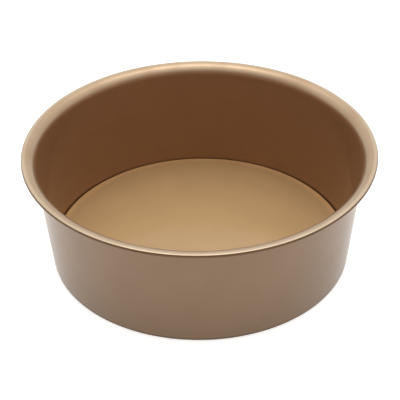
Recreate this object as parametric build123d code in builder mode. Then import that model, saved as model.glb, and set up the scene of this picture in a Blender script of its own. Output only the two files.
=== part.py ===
from build123d import *
import math
import os

# Round cake tin with a loose base, in millimetres.
# The tin stands on z = 0 and its axis is Z. Both pieces are pressed from coated sheet steel,
# so each one is a skin line with the sheet's thickness laid on its hidden side, turned about Z.

# Side ring
HEIGHT = 75.0
FOOT_RADIUS = 94.5
WALL_TAPER = 6.0
WALL_SHEET = 0.8

# Seat lip, turned in under the wall
LIP_WIDTH = 7.0
FOOT_BEND_INSIDE = 0.6

# Rim, flared out from the wall and curled under at its edge
FLARE_INSIDE = 6.2
RIM_LAND = 0.9
CURL_INSIDE = 0.4
CURL_TURN = 180.0

# Loose base, a shallow pressing with its edge turned down onto the seat lip
BASE_SHEET = 0.8
FLOOR_HEIGHT = 6.0
BASE_SHOULDER_INSIDE = 0.3

# Clearances of the loose base: to the wall all round, and to the bend where the lip begins
BASE_TO_WALL_GAP = 0.35
BASE_TO_BEND_GAP = 0.3

# Extra length of a piece that is trimmed off again
OVERRUN = 1.0

taper = math.radians(WALL_TAPER)


def wall_inside_radius(z):
    """Radius of the straight wall's inner face at height z."""
    return FOOT_RADIUS + z * math.tan(taper) - WALL_SHEET / math.cos(taper)


# The foot bend's inner arc touches the lip's top face and the wall's inner face.
bend_centre_z = WALL_SHEET + FOOT_BEND_INSIDE
bend_centre_r = wall_inside_radius(bend_centre_z) - FOOT_BEND_INSIDE / math.cos(taper)
hole_radius = FOOT_RADIUS - LIP_WIDTH

# The flare's upper face starts on the wall and comes level at the full height.
flare_radius = FLARE_INSIDE + WALL_SHEET
curl_radius = CURL_INSIDE + WALL_SHEET
flare_start_z = HEIGHT - flare_radius * (1 - math.sin(taper))
flare_start_r = wall_inside_radius(flare_start_z)

with BuildPart() as side_ring:
    with BuildSketch(Plane.XZ):
        with BuildLine():
            lip = Line((hole_radius, WALL_SHEET), (bend_centre_r, WALL_SHEET))
            bend = JernArc(lip @ 1, lip % 1, FOOT_BEND_INSIDE, 90 - WALL_TAPER)
            wall = Line(bend @ 1, (flare_start_r, flare_start_z))
            flare = JernArc(wall @ 1, wall % 1, flare_radius, WALL_TAPER - 90)
            land = Line(flare @ 1, flare @ 1 + RIM_LAND * (flare % 1))
            JernArc(land @ 1, land % 1, curl_radius, -CURL_TURN)
            offset(amount=WALL_SHEET, side=Side.RIGHT)
        make_face()
    revolve(axis=Axis.Z)

# The base's shoulder keeps its clearance to the wall, and its turned-down edge runs straight
# from the shoulder to a foot that stands on the lip, just inside the bend.
shoulder_radius = BASE_SHOULDER_INSIDE + BASE_SHEET
shoulder_z = FLOOR_HEIGHT - shoulder_radius
shoulder_r = wall_inside_radius(shoulder_z) - (shoulder_radius + BASE_TO_WALL_GAP) / math.cos(taper)
foot_r = bend_centre_r - BASE_TO_BEND_GAP
to_foot = Vector(foot_r - shoulder_r, WALL_SHEET - shoulder_z)
leave_angle = math.atan2(to_foot.Y, to_foot.X) + math.acos(shoulder_radius / to_foot.length)

with BuildPart() as loose_base:
    with BuildSketch(Plane.XZ):
        with BuildLine():
            floor = Line((0, FLOOR_HEIGHT), (shoulder_r, FLOOR_HEIGHT))
            shoulder = JernArc(floor @ 1, floor % 1, shoulder_radius, math.degrees(leave_angle) - 90)
            edge = Line(shoulder @ 1, (foot_r, WALL_SHEET))
            Line(edge @ 1, edge @ 1 + OVERRUN * (edge % 1))
            offset(amount=BASE_SHEET, side=Side.RIGHT)
        make_face()
        with Locations((foot_r, WALL_SHEET)):
            trim = FLOOR_HEIGHT + OVERRUN
            Rectangle(trim, trim, align=(Align.CENTER, Align.MAX), mode=Mode.SUBTRACT)
    revolve(axis=Axis.Z)

side_ring.part.label = "side_ring"
loose_base.part.label = "loose_base"

os.makedirs("parts", exist_ok=True)
export_step(side_ring.part, "parts/side_ring.step")
export_step(loose_base.part, "parts/loose_base.step")

rim_radius = side_ring.part.bounding_box().max.X
print(f"rim radius {rim_radius:.2f}, push-out hole radius {hole_radius:.2f}")
print(f"wall inside at the flare {flare_start_r:.2f}, floor inside {wall_inside_radius(FLOOR_HEIGHT):.2f}")
print(f"base edge radius {shoulder_r + shoulder_radius:.2f}, foot of the base {foot_r:.2f}")
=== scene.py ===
"""The looks of a round cake tin with a loose base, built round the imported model's frame.

The tin is two pressings of coated sheet steel: the side ring, with its rim and seat lip, and the
loose base that stands on the lip. Each one is drawn as half a section through the visible face of
the sheet. Geometry Nodes bend the section's corners, turn it about Z and give it the sheet's
thickness. Lengths are in metres and angles in radians, in the frame's own axes.
"""

import logging
import math
from dataclasses import dataclass
from enum import Enum

import bpy
from mathutils import Matrix, Vector


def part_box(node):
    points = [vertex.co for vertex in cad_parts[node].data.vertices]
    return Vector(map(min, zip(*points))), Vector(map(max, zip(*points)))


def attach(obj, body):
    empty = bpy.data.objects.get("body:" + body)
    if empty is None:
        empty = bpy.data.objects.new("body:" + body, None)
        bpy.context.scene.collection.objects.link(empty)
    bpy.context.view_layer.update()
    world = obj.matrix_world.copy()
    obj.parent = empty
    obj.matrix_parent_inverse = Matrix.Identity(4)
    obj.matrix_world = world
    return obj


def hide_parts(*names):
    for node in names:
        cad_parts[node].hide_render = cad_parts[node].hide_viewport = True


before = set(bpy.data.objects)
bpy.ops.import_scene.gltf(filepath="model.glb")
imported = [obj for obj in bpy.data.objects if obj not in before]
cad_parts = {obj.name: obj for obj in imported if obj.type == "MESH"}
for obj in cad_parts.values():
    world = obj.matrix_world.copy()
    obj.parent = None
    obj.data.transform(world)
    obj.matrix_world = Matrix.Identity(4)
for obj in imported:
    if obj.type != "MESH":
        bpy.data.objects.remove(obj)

log = logging.getLogger("cake_tin")

BEND_ATTRIBUTE = "bend"

MILLIMETRE = 0.001
WHITE = (1.0, 1.0, 1.0, 1.0)

# The colour mixing node has sockets of the same names for each type, so they are told apart by number.
MIX_SHARE = 0
MIX_FIRST_COLOUR = 6
MIX_SECOND_COLOUR = 7
MIX_RESULT_COLOUR = 2


class Touch(Enum):
    """How the coating looks in a band round the tin: a painted highlight, wear with a painted highlight or
    painted light, or painted shade.
    """

    # Painted highlight: a paler, lighter, smoother coat on the rim's flare where it catches the light.
    THIN = "thin spray that shows the pale metal"
    # Rubbed smoother on the curl, with a lighter colour that is a painted highlight.
    RUBBED_AND_PAINTED_HIGHLIGHT = "rubbed smooth by handling"
    # Worn on the base's shoulder, with a lighter colour fading onto the floor: painted light.
    WORN_AND_PAINTED_LIGHT = "worn pale where the base is pushed in and out"
    # Painted shade: dark lines in the crevice, under the rim's edge and at the foot.
    PAINTED_SHADE_LINE = "deepened in a corner that no cloth reaches"


class Side(Enum):
    """Which coat a band lies on: the golden one, or the darker outside one that is painted shade."""

    # Surfaces that face up or inwards, in the golden coat.
    FACING_UP = "the coat sprayed from above"
    # Surfaces that face down or outwards, in the darker outside coat: painted shade.
    OUTSIDE = "the coat outside and below"


@dataclass(frozen=True)
class Corner:
    """A corner of a section, before it is bent round.

    Attributes:
        radius: Distance from the tin's axis.
        height: Height above the surface that the tin stands on.
        bend: Radius that the visible face takes at the corner, or zero at the sheet's cut edges.
    """

    radius: float
    height: float
    bend: float = 0.0


@dataclass(frozen=True)
class TouchBand:
    """A band round the tin where the coating looks different.

    Attributes:
        radius: Distance of the band's middle from the axis.
        height: Height of the band's middle.
        reach: How far from its middle the band is full.
        fade: How much further it takes to die away.
        touch: What the band shows: a painted highlight, wear with a painted highlight or painted light, or
            painted shade.
        side: Which coat it lies on.
    """

    radius: float
    height: float
    reach: float
    fade: float
    touch: Touch
    side: Side = Side.FACING_UP


class NodeBench:
    """Makes and joins the nodes of one tree."""

    def __init__(self, tree: bpy.types.NodeTree) -> None:
        """Keep the tree that the nodes go into.

        Args:
            tree: The node tree to work on.
        """
        self.tree = tree

    def add(self, kind: str, settings: dict | None = None, **inputs: object) -> bpy.types.Node:
        """Add a node, set its own settings, and join or set its inputs.

        Args:
            kind: The node's Blender type name.
            settings: Values of the node's own properties, such as an operation.
            **inputs: A socket to join or a value to set, by the input's name with underscores
                for its spaces.

        Returns:
            The new node.
        """
        node = self.tree.nodes.new(kind)
        for name, value in (settings or {}).items():
            setattr(node, name, value)
        for name, value in inputs.items():
            self.join(value, node.inputs[name.replace("_", " ")])
        return node

    def join(self, source: object, target: bpy.types.NodeSocket) -> None:
        """Join a socket to an input, or set the input's value.

        Args:
            source: An output socket, or a plain value.
            target: The input that takes it.
        """
        if isinstance(source, bpy.types.NodeSocket):
            self.tree.links.new(source, target)
        else:
            target.default_value = source

    def math(self, operation: str, *values: object) -> bpy.types.NodeSocket:
        """Work out one number in the tree.

        Args:
            operation: The Math node's operation.
            *values: Its inputs, as sockets or numbers.

        Returns:
            The result's socket.
        """
        node = self.add("ShaderNodeMath", {"operation": operation})
        for value, target in zip(values, node.inputs):
            self.join(value, target)
        return node.outputs[0]

    def vector(self, operation: str, *values: object) -> bpy.types.Node:
        """Work out one vector in the tree.

        Args:
            operation: The Vector Math node's operation.
            *values: Its inputs, as sockets or vectors.

        Returns:
            The node, because some operations give a number and others a vector.
        """
        node = self.add("ShaderNodeVectorMath", {"operation": operation})
        for value, target in zip(values, node.inputs):
            self.join(value, target)
        return node


@dataclass
class TurnedSheetTree:
    """The Geometry Nodes tree that turns a section into a closed pressing.

    Attributes:
        turned_faces: Faces round the axis.
        bend_steps: Points along each bend.
        longest_run: Longest face along a straight stretch of the section.
        turning_radius: Radius of the guide circle that the section is carried round.
        weld: Distance under which points are one, at the pole and along the cut edges.
        crease: Angle between faces above which an edge stays crisp.
    """

    turned_faces: int = 256
    bend_steps: int = 18
    longest_run: float = 5.0 * MILLIMETRE
    turning_radius: float = 1.0 * MILLIMETRE
    weld: float = 0.002 * MILLIMETRE
    crease: float = math.radians(40)

    def build(self) -> bpy.types.NodeTree:
        """Build the tree.

        Returns:
            The node group, ready to go into a modifier.
        """
        tree = bpy.data.node_groups.new("turned_sheet", "GeometryNodeTree")
        tree.is_modifier = True
        face = tree.interface
        face.new_socket("Section", in_out="INPUT", socket_type="NodeSocketGeometry")
        for name, kind in (
            ("Sheet thickness", "NodeSocketFloat"),
            ("Standing height", "NodeSocketFloat"),
            ("Longest run", "NodeSocketFloat"),
            ("Turning radius", "NodeSocketFloat"),
            ("Bend steps", "NodeSocketInt"),
            ("Turned faces", "NodeSocketInt"),
            ("Finish", "NodeSocketMaterial"),
        ):
            face.new_socket(name, in_out="INPUT", socket_type=kind)
        face.new_socket("Pressing", in_out="OUTPUT", socket_type="NodeSocketGeometry")
        bench = NodeBench(tree)
        given = bench.add("NodeGroupInput").outputs
        section = self._bent_section(bench, given)
        skin = self._turned(bench, given, section)
        shell = self._thickened(bench, given, skin)
        self._finished(bench, given, shell)
        return tree

    def _bent_section(self, bench: NodeBench, given: bpy.types.NodeOutputs) -> bpy.types.NodeSocket:
        """Round the section's corners and divide its long straight stretches.

        Args:
            bench: The tree's bench.
            given: The tree's inputs.

        Returns:
            The section as a curve of short runs.
        """
        drawn = bench.add("GeometryNodeMeshToCurve", Mesh=given["Section"])
        bend = bench.add("GeometryNodeInputNamedAttribute", {"data_type": "FLOAT"}, Name=BEND_ATTRIBUTE)
        rounded = bench.add(
            "GeometryNodeFilletCurve",
            {"mode": "POLY"},
            Curve=drawn.outputs["Curve"],
            Count=given["Bend steps"],
            Radius=bend.outputs["Attribute"],
            Limit_Radius=True,
        )
        here = bench.add("GeometryNodeInputPosition").outputs["Position"]
        following = bench.add("GeometryNodeOffsetPointInCurve", Offset=1)
        there = bench.add(
            "GeometryNodeFieldAtIndex",
            {"data_type": "FLOAT_VECTOR", "domain": "POINT"},
            Value=here,
            Index=following.outputs["Point Index"],
        )
        run = bench.vector("DISTANCE", here, there.outputs["Value"]).outputs["Value"]
        cuts = bench.math("FLOOR", bench.math("DIVIDE", run, given["Longest run"]))
        return bench.add(
            "GeometryNodeSubdivideCurve", Curve=rounded.outputs["Curve"], Cuts=cuts
        ).outputs["Curve"]

    def _turned(
        self, bench: NodeBench, given: bpy.types.NodeOutputs, section: bpy.types.NodeSocket
    ) -> bpy.types.NodeSocket:
        """Carry the section round the axis.

        Curve to Mesh lays a profile's Y axis downwards on a level circle, so the section is
        turned over first, and moved in by the guide circle's radius.

        Args:
            bench: The tree's bench.
            given: The tree's inputs.
            section: The bent section.

        Returns:
            The visible skin, one face thick.
        """
        inwards = bench.math("MULTIPLY", given["Turning radius"], -1.0)
        shift = bench.add("ShaderNodeCombineXYZ", X=inwards).outputs["Vector"]
        profile = bench.add(
            "GeometryNodeTransform", Geometry=section, Translation=shift, Rotation=(math.pi, 0.0, 0.0)
        )
        guide = bench.add(
            "GeometryNodeCurvePrimitiveCircle",
            Resolution=given["Turned faces"],
            Radius=given["Turning radius"],
        )
        skin = bench.add(
            "GeometryNodeCurveToMesh",
            Curve=guide.outputs["Curve"],
            Profile_Curve=profile.outputs["Geometry"],
        )
        return bench.add(
            "GeometryNodeMergeByDistance", Geometry=skin.outputs["Mesh"], Distance=self.weld
        ).outputs["Geometry"]

    def _thickened(
        self, bench: NodeBench, given: bpy.types.NodeOutputs, skin: bpy.types.NodeSocket
    ) -> bpy.types.NodeSocket:
        """Give the skin its thickness on the hidden side, and cut it level where it stands.

        Args:
            bench: The tree's bench.
            given: The tree's inputs.
            skin: The visible skin.

        Returns:
            The closed pressing.
        """
        inward = bench.add("GeometryNodeFlipFaces", Mesh=skin)
        hidden = bench.add(
            "GeometryNodeExtrudeMesh",
            {"mode": "FACES"},
            Mesh=inward.outputs["Mesh"],
            Offset_Scale=given["Sheet thickness"],
            Individual=False,
        )
        both = bench.add("GeometryNodeJoinGeometry")
        bench.join(hidden.outputs["Mesh"], both.inputs["Geometry"])
        bench.join(skin, both.inputs["Geometry"])
        closed = bench.add(
            "GeometryNodeMergeByDistance", Geometry=both.outputs["Geometry"], Distance=self.weld
        )
        place = bench.add("GeometryNodeInputPosition").outputs["Position"]
        parts = bench.add("ShaderNodeSeparateXYZ", Vector=place).outputs
        level = bench.math("MAXIMUM", parts["Z"], given["Standing height"])
        cut = bench.add("ShaderNodeCombineXYZ", X=parts["X"], Y=parts["Y"], Z=level)
        return bench.add(
            "GeometryNodeSetPosition",
            Geometry=closed.outputs["Geometry"],
            Position=cut.outputs["Vector"],
        ).outputs["Geometry"]

    def _finished(
        self, bench: NodeBench, given: bpy.types.NodeOutputs, shell: bpy.types.NodeSocket
    ) -> None:
        """Shade the shell smooth between its crisp edges and give it its finish.

        Args:
            bench: The tree's bench.
            given: The tree's inputs.
            shell: The closed pressing.
        """
        smooth = bench.add("GeometryNodeSetShadeSmooth", {"domain": "FACE"}, Geometry=shell)
        angle = bench.add("GeometryNodeInputMeshEdgeAngle").outputs["Unsigned Angle"]
        soft = bench.add("FunctionNodeCompare", {"operation": "LESS_THAN"}, A=angle, B=self.crease)
        creased = bench.add(
            "GeometryNodeSetShadeSmooth",
            {"domain": "EDGE"},
            Geometry=smooth.outputs["Geometry"],
            Shade_Smooth=soft.outputs["Result"],
        )
        whole = bench.add("GeometryNodeRealizeInstances", Geometry=creased.outputs["Geometry"])
        dressed = bench.add(
            "GeometryNodeSetMaterial", Geometry=whole.outputs["Geometry"], Material=given["Finish"]
        )
        bench.add("NodeGroupOutput", Pressing=dressed.outputs["Geometry"])


@dataclass(frozen=True)
class SectionPlace:
    """Where the points of a surface lie in the tin's section, as sockets of its material.

    Attributes:
        outward: Level direction from the axis to the point.
        radius: Distance from the axis.
        height: Height above the surface that the tin stands on.
        section: Radius along X and height along Z.
    """

    outward: bpy.types.NodeSocket
    radius: bpy.types.NodeSocket
    height: bpy.types.NodeSocket
    section: bpy.types.NodeSocket

    @classmethod
    def read(cls, bench: NodeBench, place: bpy.types.NodeSocket) -> "SectionPlace":
        """Work out the place in the section.

        Args:
            bench: The material's bench.
            place: Object coordinates.

        Returns:
            The place.
        """
        parts = bench.add("ShaderNodeSeparateXYZ", Vector=place).outputs
        flat = bench.add("ShaderNodeCombineXYZ", X=parts["X"], Y=parts["Y"]).outputs["Vector"]
        radius = bench.vector("LENGTH", flat).outputs["Value"]
        outward = bench.vector("NORMALIZE", flat).outputs["Vector"]
        section = bench.add("ShaderNodeCombineXYZ", X=radius, Z=parts["Z"]).outputs["Vector"]
        return cls(outward, radius, parts["Z"], section)


@dataclass(frozen=True)
class Coat:
    """One coat of metallic paint, with the flakes' spread of colour and dullness.

    Attributes:
        light: Colour where the flakes lie dense.
        dark: Colour where they lie sparse.
        smooth: Roughness where the film is smoothest.
        dull: Roughness where it is dullest.
    """

    light: tuple[float, float, float]
    dark: tuple[float, float, float]
    smooth: float
    dull: float


@dataclass(frozen=True)
class ChampagneCoating:
    """A satin metallic golden coating, with a darker, browner copy on its outside that is painted shade.

    The golden coat lies on the surfaces that face up, leaning inwards over the rim. Where a surface is
    turned too far away from that direction, the darker outside coat takes over as painted shade.

    Attributes:
        wall: The coat inside the wall, a darker, redder copy of the floor's coat: painted shade.
        floor: The coat on the floor.
        outside: The darker, browner coat on the surfaces that face down or outwards: painted shade.
        painted_flare_highlight: The paler, lighter and smoother coat on the rim's flare: painted highlight.
        rubbed_and_painted_highlight: The coat where handling has polished the curl smoother, lighter as a
            painted highlight.
        worn_and_painted_light: The coat where the base's edge is worn, lighter as painted light where it
            fades onto the floor.
        painted_shade_line: The dark coat of the painted shade lines in the crevice, under the rim's edge and
            at the foot.
        shade_lean: Lean from upright, towards the axis, of the direction that the golden coat faces.
        shade_reach: Angle from that direction at which the painted shade of the outside coat takes over.
        shade_blend: Angle over which it takes over.
        band_steadiness: Share of a band's strength that the clouding leaves everywhere.
        band_clouding: Clouding at which a band is weakest, and at which it is full.
        flake_size: Size of the fine flake pattern.
        flake_detail: Finer layers in the flake pattern.
        flake_share: Share of the flakes in the coat's pattern.
        cloud_size: Size of the slow clouding from the spray.
        cloud_share: Share of the clouding in the coat's pattern.
        mark_share: Share of the press tool's rings in the coat's pattern.
        pattern_limits: Sums of the patterns that give the coat's darkest and lightest colour.
        peel_size: Size of the film's orange peel.
        peel_depth: Depth of the orange peel.
        mark_spacing: Spacing of the rings left by the press tool.
        mark_depth: Depth of those rings.
        mark_detail: Finer layers in the rings.
        mark_grain: Strength of each finer layer in the rings.
        slow_detail: Finer layers in the clouding and the orange peel.
        noise_grain: Strength of each finer layer in the flakes, the clouding and the orange peel.
        film_weight: Strength of the clear film over the flakes.
        film_roughness: Roughness of that film.
    """

    # The wall's coat is a darker, redder copy of the floor's coat: painted shade.
    wall: Coat = Coat((0.390, 0.211, 0.106), (0.346, 0.187, 0.094), 0.59, 0.65)
    floor: Coat = Coat((0.584, 0.397, 0.202), (0.518, 0.352, 0.179), 0.67, 0.73)
    # A darker, browner copy of the golden coat for surfaces facing down or outwards: painted shade.
    outside: Coat = Coat((0.218, 0.135, 0.074), (0.194, 0.120, 0.066), 0.57, 0.63)
    # Paler and lighter on the rim's flare: painted highlight.
    painted_flare_highlight: Coat = Coat((0.456, 0.325, 0.201), (0.404, 0.288, 0.179), 0.39, 0.45)
    # Smoother from rubbing, and lighter as a painted highlight.
    rubbed_and_painted_highlight: Coat = Coat((0.59, 0.46, 0.32), (0.53, 0.41, 0.28), 0.30, 0.36)
    # Lighter than the floor's coat: wear on the shoulder, painted light beyond it.
    worn_and_painted_light: Coat = Coat((0.78, 0.51, 0.25), (0.70, 0.46, 0.22), 0.60, 0.66)
    # Dark brown for the painted shade lines.
    painted_shade_line: Coat = Coat((0.120, 0.055, 0.012), (0.100, 0.045, 0.010), 0.55, 0.65)
    # The facing at which the darker outside coat, painted shade, takes over.
    shade_lean: float = math.radians(30)
    shade_reach: float = math.radians(63)
    shade_blend: float = math.radians(24)
    band_steadiness: float = 0.7
    band_clouding: tuple[float, float] = (0.3, 0.6)
    flake_size: float = 0.35 * MILLIMETRE
    flake_detail: float = 1.0
    flake_share: float = 0.5
    cloud_size: float = 24.0 * MILLIMETRE
    cloud_share: float = 0.3
    mark_share: float = 0.2
    pattern_limits: tuple[float, float] = (0.3, 0.7)
    peel_size: float = 2.2 * MILLIMETRE
    peel_depth: float = 0.006 * MILLIMETRE
    mark_spacing: float = 1.4 * MILLIMETRE
    mark_depth: float = 0.003 * MILLIMETRE
    mark_detail: float = 3.0
    mark_grain: float = 0.6
    slow_detail: float = 2.0
    noise_grain: float = 0.5
    film_weight: float = 0.58
    film_roughness: float = 0.13

    def material(self, name: str, upper: Coat, touches: list[TouchBand]) -> bpy.types.Material:
        """Make the coating's material for one piece.

        Args:
            name: The material's name.
            upper: The coat on the piece's surfaces that face up or inwards.
            touches: The piece's bands.

        Returns:
            The material.
        """
        material = bpy.data.materials.new(name)
        material.use_nodes = True
        tree = material.node_tree
        tree.nodes.clear()
        bench = NodeBench(tree)
        surface = bench.add("ShaderNodeTexCoord").outputs
        place = surface["Object"]
        where = SectionPlace.read(bench, place)
        flakes = self._noise(bench, place, self.flake_size, self.flake_detail)
        clouds = self._noise(bench, place, self.cloud_size, self.slow_detail)
        marks = self._tool_marks(bench, where)
        pattern = self._pattern(bench, flakes, clouds, marks)
        looks = {}
        # The golden coat and the darker outside coat, painted shade, each with its bands.
        for side, coat in ((Side.FACING_UP, upper), (Side.OUTSIDE, self.outside)):
            look = self._coat(bench, coat, pattern)
            for band in touches:
                if band.side is side:
                    mask = self._band_mask(bench, where, clouds, band)
                    look = self._over(bench, look, self._coat(bench, self._touched(band), pattern), mask)
            looks[side] = look
        # The darker outside coat is painted shade where a surface faces away from up and inwards.
        outside_shade = self._outside_shade_mask(bench, surface["Normal"], where)
        colour, roughness = self._over(bench, looks[Side.FACING_UP], looks[Side.OUTSIDE], outside_shade)
        peel = self._noise(bench, place, self.peel_size, self.slow_detail)
        dented = bench.add("ShaderNodeBump", Distance=self.peel_depth, Height=peel)
        ringed = bench.add(
            "ShaderNodeBump", Distance=self.mark_depth, Height=marks, Normal=dented.outputs["Normal"]
        )
        shader = bench.add(
            "ShaderNodeBsdfPrincipled",
            Base_Color=colour,
            Metallic=1.0,
            Roughness=roughness,
            Normal=ringed.outputs["Normal"],
            Coat_Weight=self.film_weight,
            Coat_Roughness=self.film_roughness,
        )
        bench.add("ShaderNodeOutputMaterial", Surface=shader.outputs["BSDF"])
        return material

    def _noise(
        self, bench: NodeBench, place: bpy.types.NodeSocket, size: float, detail: float
    ) -> bpy.types.NodeSocket:
        """Add a noise pattern whose features have a real size.

        Args:
            bench: The material's bench.
            place: Object coordinates.
            size: The features' size.
            detail: How many finer layers the pattern has.

        Returns:
            The pattern, from zero to one.
        """
        return bench.add(
            "ShaderNodeTexNoise", Vector=place, Scale=1 / size, Detail=detail, Roughness=self.noise_grain
        ).outputs["Fac"]

    def _tool_marks(self, bench: NodeBench, where: SectionPlace) -> bpy.types.NodeSocket:
        """Add the faint rings that run round the wall and the floor.

        The pattern is read from the direction round the axis, which changes slowly, and from the
        way along the section, radius plus height, which changes fast.

        Args:
            bench: The material's bench.
            where: The places in the section.

        Returns:
            The pattern, from zero to one.
        """
        along = bench.math("DIVIDE", bench.math("ADD", where.radius, where.height), self.mark_spacing)
        upright = bench.add("ShaderNodeCombineXYZ", Z=along).outputs["Vector"]
        drawn = bench.vector("ADD", where.outward, upright).outputs["Vector"]
        return bench.add(
            "ShaderNodeTexNoise", Vector=drawn, Scale=1.0, Detail=self.mark_detail, Roughness=self.mark_grain
        ).outputs["Fac"]

    def _pattern(
        self,
        bench: NodeBench,
        flakes: bpy.types.NodeSocket,
        clouds: bpy.types.NodeSocket,
        marks: bpy.types.NodeSocket,
    ) -> bpy.types.NodeSocket:
        """Join the three patterns into one.

        Args:
            bench: The material's bench.
            flakes: The fine flake pattern.
            clouds: The slow pattern.
            marks: The press tool's rings.

        Returns:
            The coat's pattern, spread from zero to one.
        """
        clouded = bench.math("MULTIPLY", clouds, self.cloud_share)
        fine = bench.math("MULTIPLY_ADD", flakes, self.flake_share, clouded)
        whole = bench.math("MULTIPLY_ADD", marks, self.mark_share, fine)
        low, high = self.pattern_limits
        return bench.add("ShaderNodeMapRange", Value=whole, From_Min=low, From_Max=high).outputs["Result"]

    def _coat(
        self, bench: NodeBench, coat: Coat, pattern: bpy.types.NodeSocket
    ) -> tuple[bpy.types.NodeSocket, bpy.types.NodeSocket]:
        """Give a coat's look over the pattern.

        Args:
            bench: The material's bench.
            coat: The coat.
            pattern: The coat's pattern.

        Returns:
            The coat's colour and roughness.
        """
        colour = self._mix(bench, pattern, coat.dark, coat.light)
        roughness = bench.add(
            "ShaderNodeMapRange", Value=pattern, To_Min=coat.dull, To_Max=coat.smooth
        ).outputs["Result"]
        return colour, roughness

    def _over(
        self,
        bench: NodeBench,
        below: tuple[bpy.types.NodeSocket, bpy.types.NodeSocket],
        above: tuple[bpy.types.NodeSocket, bpy.types.NodeSocket],
        mask: bpy.types.NodeSocket,
    ) -> tuple[bpy.types.NodeSocket, bpy.types.NodeSocket]:
        """Lay one coat over another where a mask is strong.

        Args:
            bench: The material's bench.
            below: Colour and roughness of the coat below.
            above: Colour and roughness of the coat above.
            mask: How much of the coat above each point takes.

        Returns:
            The new colour and roughness.
        """
        change = bench.math("MULTIPLY", bench.math("SUBTRACT", above[1], below[1]), mask)
        return self._mix(bench, mask, below[0], above[0]), bench.math("ADD", below[1], change)

    def _touched(self, band: TouchBand) -> Coat:
        """Give the coat as it looks in a band."""
        return {
            Touch.THIN: self.painted_flare_highlight,
            Touch.RUBBED_AND_PAINTED_HIGHLIGHT: self.rubbed_and_painted_highlight,
            Touch.WORN_AND_PAINTED_LIGHT: self.worn_and_painted_light,
            Touch.PAINTED_SHADE_LINE: self.painted_shade_line,
        }[band.touch]

    def _outside_shade_mask(
        self, bench: NodeBench, normal: bpy.types.NodeSocket, where: SectionPlace
    ) -> bpy.types.NodeSocket:
        """Mark the surfaces that are turned away from up and inwards, where the darker outside coat is
        painted shade.

        Args:
            bench: The material's bench.
            normal: The surface's direction in the object's own axes.
            where: The places in the section.

        Returns:
            The mask, from zero to one.
        """
        # The direction that the golden coat faces; surfaces turned away from it get the painted shade.
        inward = -math.sin(self.shade_lean)
        golden_direction = bench.vector(
            "MULTIPLY_ADD", where.outward, (inward, inward, 0.0), (0.0, 0.0, math.cos(self.shade_lean))
        ).outputs["Vector"]
        facing = bench.vector("DOT_PRODUCT", normal, golden_direction).outputs["Value"]
        half_blend = self.shade_blend / 2
        return bench.add(
            "ShaderNodeMapRange",
            Value=facing,
            From_Min=math.cos(self.shade_reach - half_blend),
            From_Max=math.cos(self.shade_reach + half_blend),
        ).outputs["Result"]

    def _band_mask(
        self, bench: NodeBench, where: SectionPlace, clouds: bpy.types.NodeSocket, band: TouchBand
    ) -> bpy.types.NodeSocket:
        """Mark how much each point lies in a band round the tin, uneven with the clouding.

        Args:
            bench: The material's bench.
            where: The places in the section.
            clouds: The slow pattern.
            band: The band to mark.

        Returns:
            The mask, from zero to one.
        """
        middle = (band.radius, 0.0, band.height)
        away = bench.vector("DISTANCE", where.section, middle).outputs["Value"]
        near = bench.add(
            "ShaderNodeMapRange",
            {"interpolation_type": "SMOOTHSTEP"},
            Value=away,
            From_Min=band.reach + band.fade,
            From_Max=band.reach,
        ).outputs["Result"]
        uneven = bench.add(
            "ShaderNodeMapRange",
            Value=clouds,
            From_Min=self.band_clouding[0],
            From_Max=self.band_clouding[1],
            To_Min=self.band_steadiness,
        ).outputs["Result"]
        return bench.math("MULTIPLY", near, uneven)

    def _mix(self, bench: NodeBench, share: object, first: object, second: object) -> bpy.types.NodeSocket:
        """Mix two colours.

        Args:
            bench: The material's bench.
            share: How much of the second colour each point takes.
            first: A colour, as a socket or as red, green and blue.
            second: Another colour, likewise.

        Returns:
            The mixed colour.
        """
        node = bench.add("ShaderNodeMix", {"data_type": "RGBA"})
        colours = [
            value if isinstance(value, bpy.types.NodeSocket) else (*value, 1.0)
            for value in (first, second)
        ]
        bench.join(share, node.inputs[MIX_SHARE])
        bench.join(colours[0], node.inputs[MIX_FIRST_COLOUR])
        bench.join(colours[1], node.inputs[MIX_SECOND_COLOUR])
        return node.outputs[MIX_RESULT_COLOUR]


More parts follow.
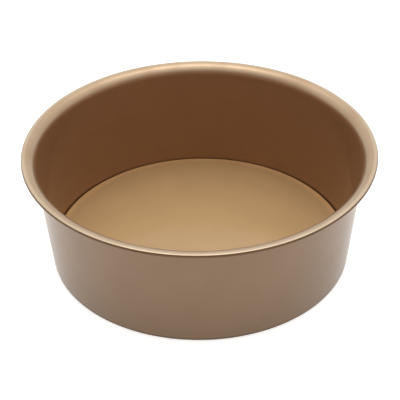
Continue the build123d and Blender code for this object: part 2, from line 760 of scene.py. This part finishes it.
@dataclass
class Pressing:
    """One pressed and turned piece of the tin.

    Attributes:
        name: The finished piece's name.
        node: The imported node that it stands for.
        body: The moving body that it rides on.
        sheet: The sheet's thickness.
    """

    name: str
    node: str
    body: str
    sheet: float = 0.8 * MILLIMETRE

    def corners(self) -> list[Corner]:
        """Give the corners of the visible face's section, from the axis outwards."""
        raise NotImplementedError

    def upper_coat(self, coating: ChampagneCoating) -> Coat:
        """Give the coat on the piece's surfaces that face up or inwards."""
        raise NotImplementedError

    def touches(self) -> list[TouchBand]:
        """Give the bands where the coating looks different."""
        return []

    def build(
        self, tree: bpy.types.NodeTree, sizes: TurnedSheetTree, finish: bpy.types.Material
    ) -> bpy.types.Object:
        """Turn the section into the finished piece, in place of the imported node.

        Args:
            tree: The Geometry Nodes group that turns sections.
            sizes: The group's settings.
            finish: The piece's material.

        Returns:
            The finished piece, a plain mesh at the origin.
        """
        drawing = self._drawn_section()
        turning = drawing.modifiers.new("turning", "NODES")
        turning.node_group = tree
        given = {
            "Sheet thickness": self.sheet,
            "Standing height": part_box(self.node)[0].z,
            "Longest run": sizes.longest_run,
            "Turning radius": sizes.turning_radius,
            "Bend steps": sizes.bend_steps,
            "Turned faces": sizes.turned_faces,
            "Finish": finish,
        }
        for item in tree.interface.items_tree:
            if item.in_out == "INPUT" and item.name in given:
                turning[item.identifier] = given[item.name]
        seen = bpy.context.evaluated_depsgraph_get()
        mesh = bpy.data.meshes.new_from_object(drawing.evaluated_get(seen))
        # The turned section brings an empty slot, which comes before the finish's own.
        mesh.materials.pop(index=0)
        mesh.name = self.name
        bpy.data.objects.remove(drawing)
        piece = bpy.data.objects.new(self.name, mesh)
        bpy.context.scene.collection.objects.link(piece)
        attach(piece, self.body)
        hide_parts(self.node)
        return piece

    def _drawn_section(self) -> bpy.types.Object:
        """Draw the section flat, with radius along X and height along Y.

        Returns:
            The drawing, a mesh of edges that holds each corner's bend.
        """
        corners = self.corners()
        mesh = bpy.data.meshes.new(f"{self.name}_section")
        points = [(corner.radius, corner.height, 0.0) for corner in corners]
        runs = [(index, index + 1) for index in range(len(corners) - 1)]
        mesh.from_pydata(points, runs, [])
        bends = mesh.attributes.new(BEND_ATTRIBUTE, "FLOAT", "POINT")
        bends.data.foreach_set("value", [corner.bend for corner in corners])
        drawing = bpy.data.objects.new(mesh.name, mesh)
        bpy.context.scene.collection.objects.link(drawing)
        return drawing


@dataclass
class SideRing(Pressing):
    """The tapered side, with its curled rim above and its seat lip below.

    Attributes:
        foot_radius: Outer radius of the wall's line where it meets the standing surface.
        wall_taper: Lean of the wall from upright.
        lip_width: Width of the lip that is turned in under the wall.
        foot_bend: Radius of the visible face where the wall meets the lip.
        flare_bend: Radius of the visible face where the wall flares out into the rim.
        curl_bend: Outer radius of the curl at the rim's edge.
        painted_flare_highlight_reach: How far to each side of the flare's middle the painted highlight is
            full.
        painted_flare_highlight_fade: How much further it takes to die away.
        edge_reach: How far the painted shade line round the rim's edge reaches to each side.
        edge_fade: How much further it takes to die away.
        line_fade: How far the painted shade lines at the base's edge and at the foot take to die away.
    """

    name: str = "curled_side_ring"
    node: str = "side_ring"
    body: str = "ring"
    foot_radius: float = 94.5 * MILLIMETRE
    wall_taper: float = math.radians(6)
    lip_width: float = 7.0 * MILLIMETRE
    foot_bend: float = 0.6 * MILLIMETRE
    flare_bend: float = 7.0 * MILLIMETRE
    curl_bend: float = 1.2 * MILLIMETRE
    # The painted highlight on the flare.
    painted_flare_highlight_reach: float = 4.6 * MILLIMETRE
    painted_flare_highlight_fade: float = 2.2 * MILLIMETRE
    # The painted shade line under the rim's edge.
    edge_reach: float = 0.6 * MILLIMETRE
    edge_fade: float = 0.7 * MILLIMETRE
    # The painted shade lines in the crevice and at the foot.
    line_fade: float = 0.6 * MILLIMETRE

    def inside_radius(self, height: float) -> float:
        """Give the inner radius of the straight wall at a height."""
        lean = height * math.tan(self.wall_taper)
        return self.foot_radius + lean - self.sheet / math.cos(self.wall_taper)

    def rim(self) -> tuple[float, float]:
        """Give the rim's outer radius and its height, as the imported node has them."""
        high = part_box(self.node)[1]
        return min(high.x, high.y), high.z

    def corners(self) -> list[Corner]:
        """Give the section's corners.

        Returns:
            The corners, from the lip's cut edge to the end of the curl.
        """
        rim_radius, rim_height = self.rim()
        curl_height = rim_height - 2 * self.curl_bend
        return [
            Corner(self.foot_radius - self.lip_width, self.sheet),
            Corner(self.inside_radius(self.sheet), self.sheet, self.foot_bend),
            Corner(self.inside_radius(rim_height), rim_height, self.flare_bend),
            Corner(rim_radius, rim_height, self.curl_bend),
            Corner(rim_radius, curl_height, self.curl_bend),
            Corner(rim_radius - self.curl_bend, curl_height),
        ]

    def upper_coat(self, coating: ChampagneCoating) -> Coat:
        """Give the coat inside the wall, darkened as painted shade."""
        return coating.wall

    def touches(self) -> list[TouchBand]:
        """Give the bands: the painted highlight on the rim's flare, the rubbed curl with its painted
        highlight, and the painted shade lines in the crevice at the wall's foot and at the outside's edges.

        Returns:
            The bands, in the order in which they are laid on.
        """
        rim_radius, rim_height = self.rim()
        crevice_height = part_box("loose_base")[1].z - self.sheet
        curl_middle = rim_radius - self.curl_bend, rim_height - self.curl_bend
        flare_middle = rim_radius - self.flare_bend / 2
        rim_edge = rim_radius, rim_height - self.curl_bend
        return [
            # Painted highlight: the paler, lighter coat over the rim's flare.
            TouchBand(flare_middle, rim_height, self.painted_flare_highlight_reach, self.painted_flare_highlight_fade, Touch.THIN),
            # The curl, rubbed smoother, with a lighter colour as a painted highlight.
            TouchBand(*curl_middle, self.curl_bend, self.curl_bend, Touch.RUBBED_AND_PAINTED_HIGHLIGHT),
            # Painted shade: a dark line in the crevice where the base meets the wall.
            TouchBand(self.inside_radius(0.0), 0.0, crevice_height, self.line_fade, Touch.PAINTED_SHADE_LINE),
            # Painted shade: a dark line under the rim's curled edge.
            TouchBand(*rim_edge, self.edge_reach, self.edge_fade, Touch.PAINTED_SHADE_LINE, Side.OUTSIDE),
            # Painted shade: a dark line at the foot.
            TouchBand(
                self.foot_radius, self.sheet, self.sheet, self.line_fade, Touch.PAINTED_SHADE_LINE, Side.OUTSIDE
            ),
        ]


@dataclass
class LooseBase(Pressing):
    """The flat floor, with its edge turned down onto the seat lip.

    Attributes:
        shoulder_bend: Outer radius of the bend between the floor and its edge.
        worn_and_painted_light_fade: How far the worn edge's lighter coat, painted light, takes to die away
            on the floor.
        edge_lean: Lean of the turned-down edge, inwards from upright.
    """

    name: str = "lift_out_base"
    node: str = "loose_base"
    body: str = "base"
    shoulder_bend: float = 1.1 * MILLIMETRE
    # Painted light: how far the shoulder's lighter coat fades onto the floor.
    worn_and_painted_light_fade: float = 5.5 * MILLIMETRE
    edge_lean: float = math.radians(12.9)

    def corners(self) -> list[Corner]:
        """Give the section's corners.

        Returns:
            The corners, from the floor's centre to the foot of its edge.
        """
        low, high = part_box(self.node)
        bend_centre = min(high.x, high.y) - self.shoulder_bend
        half_turn = (math.pi / 2 + self.edge_lean) / 2
        shoulder = bend_centre + self.shoulder_bend * math.tan(half_turn)
        foot = shoulder - (high.z - low.z) * math.tan(self.edge_lean)
        return [
            Corner(0.0, high.z),
            Corner(shoulder, high.z, self.shoulder_bend),
            Corner(foot, low.z),
        ]

    def upper_coat(self, coating: ChampagneCoating) -> Coat:
        """Give the coat on the floor."""
        return coating.floor

    def touches(self) -> list[TouchBand]:
        """Give the shoulder, which rubs on the wall each time the base goes in or out, and the painted light
        that fades from it onto the floor.
        """
        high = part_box(self.node)[1]
        # The worn shoulder, with painted light fading onto the floor.
        return [TouchBand(high.x, high.z, self.shoulder_bend, self.worn_and_painted_light_fade, Touch.WORN_AND_PAINTED_LIGHT)]


@dataclass(frozen=True)
class Softbox:
    """A soft rectangular studio light, facing the tin.

    Attributes:
        name: The light's name.
        place: Where its middle is.
        width: Its size across.
        depth: Its size the other way.
        glow: How bright its face looks, where one is white.
    """

    name: str
    place: tuple[float, float, float]
    width: float
    depth: float
    glow: float

    def hang(self) -> None:
        """Hang the light and aim it at the tin."""
        data = bpy.data.lights.new(self.name, "AREA")
        data.shape = "RECTANGLE"
        data.size = self.width
        data.size_y = self.depth
        # A flat face gives out its brightness times its area times pi.
        data.energy = math.pi * self.width * self.depth * self.glow
        light = bpy.data.objects.new(self.name, data)
        light.location = self.place
        light.rotation_euler = (-light.location).to_track_quat("-Z", "Y").to_euler()
        bpy.context.scene.collection.objects.link(light)


@dataclass
class Studio:
    """A plain pale floor, soft light and the camera at the photograph's angle.

    Attributes:
        softboxes: The studio's lights.
        back_heading: How far to the right of straight back the room is brightest.
        back_glow: Brightness of the room behind the tin.
        front_glow: Brightness of the room on the camera's side.
        room_front: Where the brightness starts to rise, from -1 straight in front to 1 straight
            behind. A start before -1 leaves the front a little brighter than its own glow.
        room_back: Where it is full, on the same scale.
        ceiling_glow: What the ceiling adds to the room's brightness.
        ceiling_edge: Angle above the horizon at which the ceiling begins.
        ceiling_full: Angle above the horizon at which it is full.
        floor_half: Half the floor's width.
        floor_colour: The floor's pale colour.
        floor_roughness: The floor's dullness.
        floor_glow: How bright the lit floor is by itself.
        camera_back: Distance of the camera in front of the tin's axis.
        camera_height: Height of the camera above the floor.
        camera_pitch: How far the camera looks down.
        camera_roll: How far the camera is turned about the way it looks.
        focal_length: The lens, in millimetres.
        sensor_width: The camera's sensor width, in millimetres.
    """

    softboxes: tuple[Softbox, ...] = (
        Softbox(name="overhead_softbox", place=(0.0, 0.3, 2.2), width=1.6, depth=0.6, glow=2.3),
    )
    back_heading: float = math.radians(7.4)
    back_glow: float = 1.05
    front_glow: float = 0.34
    room_front: float = -1.36
    room_back: float = 0.36
    ceiling_glow: float = 0.69
    ceiling_edge: float = math.radians(38.7)
    ceiling_full: float = math.radians(64.5)
    floor_half: float = 4.0
    floor_colour: tuple[float, float, float] = (0.9, 0.9, 0.9)
    floor_roughness: float = 0.7
    floor_glow: float = 0.52
    camera_back: float = 0.7246
    camera_height: float = 0.5431
    camera_pitch: float = math.radians(35.0)
    camera_roll: float = math.radians(-0.774)
    focal_length: float = 125.7
    sensor_width: float = 36.0

    def build(self) -> None:
        """Lay the floor, light the room and place the camera."""
        self._lay_floor()
        self._light_room()
        for softbox in self.softboxes:
            softbox.hang()
        self._place_camera()

    def _lay_floor(self) -> None:
        """Lay the pale floor that the tin stands on."""
        reach = self.floor_half
        mesh = bpy.data.meshes.new("studio_floor")
        rim = [(-reach, -reach, 0.0), (reach, -reach, 0.0), (reach, reach, 0.0), (-reach, reach, 0.0)]
        mesh.from_pydata(rim, [], [(0, 1, 2, 3)])
        material = bpy.data.materials.new("pale_floor")
        material.use_nodes = True
        shader = material.node_tree.nodes["Principled BSDF"]
        shader.inputs["Base Color"].default_value = (*self.floor_colour, 1.0)
        shader.inputs["Roughness"].default_value = self.floor_roughness
        shader.inputs["Emission Color"].default_value = WHITE
        shader.inputs["Emission Strength"].default_value = self.floor_glow
        mesh.materials.append(material)
        floor = bpy.data.objects.new("studio_floor", mesh)
        bpy.context.scene.collection.objects.link(floor)

    def _light_room(self) -> None:
        """Light the room, brighter behind the tin than on the camera's side, and above."""
        scene = bpy.context.scene
        scene.view_settings.view_transform = "Standard"
        scene.world = bpy.data.worlds.new("studio_room")
        scene.world.use_nodes = True
        bench = NodeBench(scene.world.node_tree)
        looking = bench.add("ShaderNodeTexCoord").outputs["Generated"]
        back = (math.sin(self.back_heading), math.cos(self.back_heading), 0.0)
        backward = bench.vector("DOT_PRODUCT", looking, back).outputs["Value"]
        upward = bench.add("ShaderNodeSeparateXYZ", Vector=looking).outputs["Z"]
        around = self._ramp(
            bench, backward, (self.room_front, self.room_back), (self.front_glow, self.back_glow)
        )
        edges = (math.sin(self.ceiling_edge), math.sin(self.ceiling_full))
        ceiling = self._ramp(bench, upward, edges, (0.0, self.ceiling_glow))
        background = scene.world.node_tree.nodes["Background"]
        background.inputs["Color"].default_value = WHITE
        bench.join(bench.math("ADD", around, ceiling), background.inputs["Strength"])

    def _ramp(
        self,
        bench: NodeBench,
        value: bpy.types.NodeSocket,
        limits: tuple[float, float],
        glows: tuple[float, float],
    ) -> bpy.types.NodeSocket:
        """Change a brightness smoothly from one limit to the other.

        Args:
            bench: The room's bench.
            value: What the brightness follows.
            limits: The values at which the change starts and ends.
            glows: The brightness at each limit.

        Returns:
            The brightness.
        """
        return bench.add(
            "ShaderNodeMapRange",
            {"interpolation_type": "SMOOTHSTEP"},
            Value=value,
            From_Min=limits[0],
            From_Max=limits[1],
            To_Min=glows[0],
            To_Max=glows[1],
        ).outputs["Result"]

    def _place_camera(self) -> None:
        """Place the camera where the photograph was taken from."""
        data = bpy.data.cameras.new("photograph_camera")
        data.lens = self.focal_length
        data.sensor_width = self.sensor_width
        camera = bpy.data.objects.new("photograph_camera", data)
        camera.matrix_world = (
            Matrix.Translation((0.0, -self.camera_back, self.camera_height))
            @ Matrix.Rotation(math.pi / 2 - self.camera_pitch, 4, "X")
            @ Matrix.Rotation(self.camera_roll, 4, "Z")
        )
        bpy.context.scene.collection.objects.link(camera)
        bpy.context.scene.camera = camera


def main() -> None:
    """Build the studio and the tin's two pieces, and report each one."""
    logging.basicConfig(level=logging.INFO, format="%(message)s")
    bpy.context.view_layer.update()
    Studio().build()
    sizes = TurnedSheetTree()
    tree = sizes.build()
    coating = ChampagneCoating()
    for pressing in (SideRing(), LooseBase()):
        upper = pressing.upper_coat(coating)
        finish = coating.material(f"{pressing.name}_coating", upper, pressing.touches())
        piece = pressing.build(tree, sizes, finish)
        log.info("%s: %d faces", piece.name, len(piece.data.polygons))


if __name__ == "__main__":
    main()
